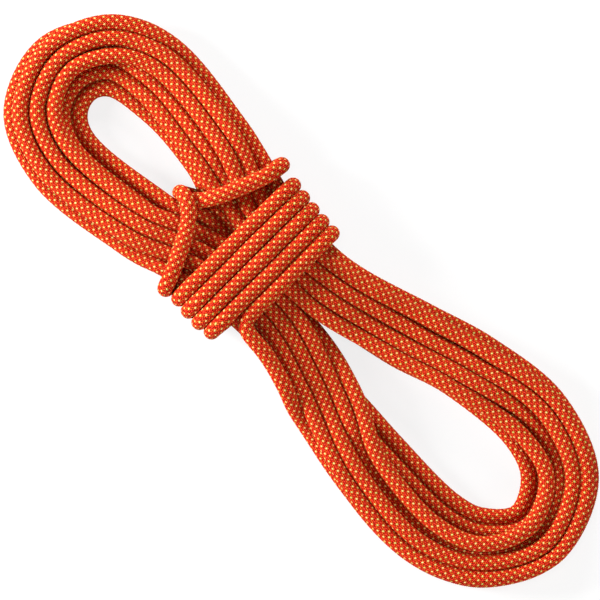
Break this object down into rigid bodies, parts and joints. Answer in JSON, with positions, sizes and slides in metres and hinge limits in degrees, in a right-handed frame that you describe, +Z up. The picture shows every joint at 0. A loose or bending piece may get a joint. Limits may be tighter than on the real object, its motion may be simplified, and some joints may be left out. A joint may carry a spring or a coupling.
{
  "type": "dynamic climbing rope",
  "caption": "Dynamic climbing rope coiled into a long hank, wrapped round its waist and finished with a hitch, with a braided sheath round a yarn core.",
  "frame": {"origin": "under the middle of the hank's outline, on the surface that it lies on", "axes": "+X along the hank to its wide lobe, +Y across it to the side that the first wrap starts down, +Z up"},
  "size_m": [0.4374, 0.1392, 0.0386],
  "materials": {
    "sheath": "tightly braided polyamide sheath in orange red with small cream and lime flecks",
    "core": "undyed twisted polyamide yarns",
    "sleeve": "shrunk matt sleeve with no marking",
    "melted_end": "melted and set rope end, darker than the sheath"
  },
  "bodies": {
    "root": {"hank_sheath": "sheath", "hank_core": "core", "wrap_sheath": "sheath", "wrap_core": "core", "hitch_sheath": "sheath", "hitch_core": "core", "start_sheath": "sheath", "start_yarns": "core", "start_sleeve": "sleeve", "start_cap": "melted_end", "tail_sheath": "sheath", "tail_yarns": "core", "tail_sleeve": "sleeve", "tail_cap": "melted_end"}
  },
  "joints": []
}
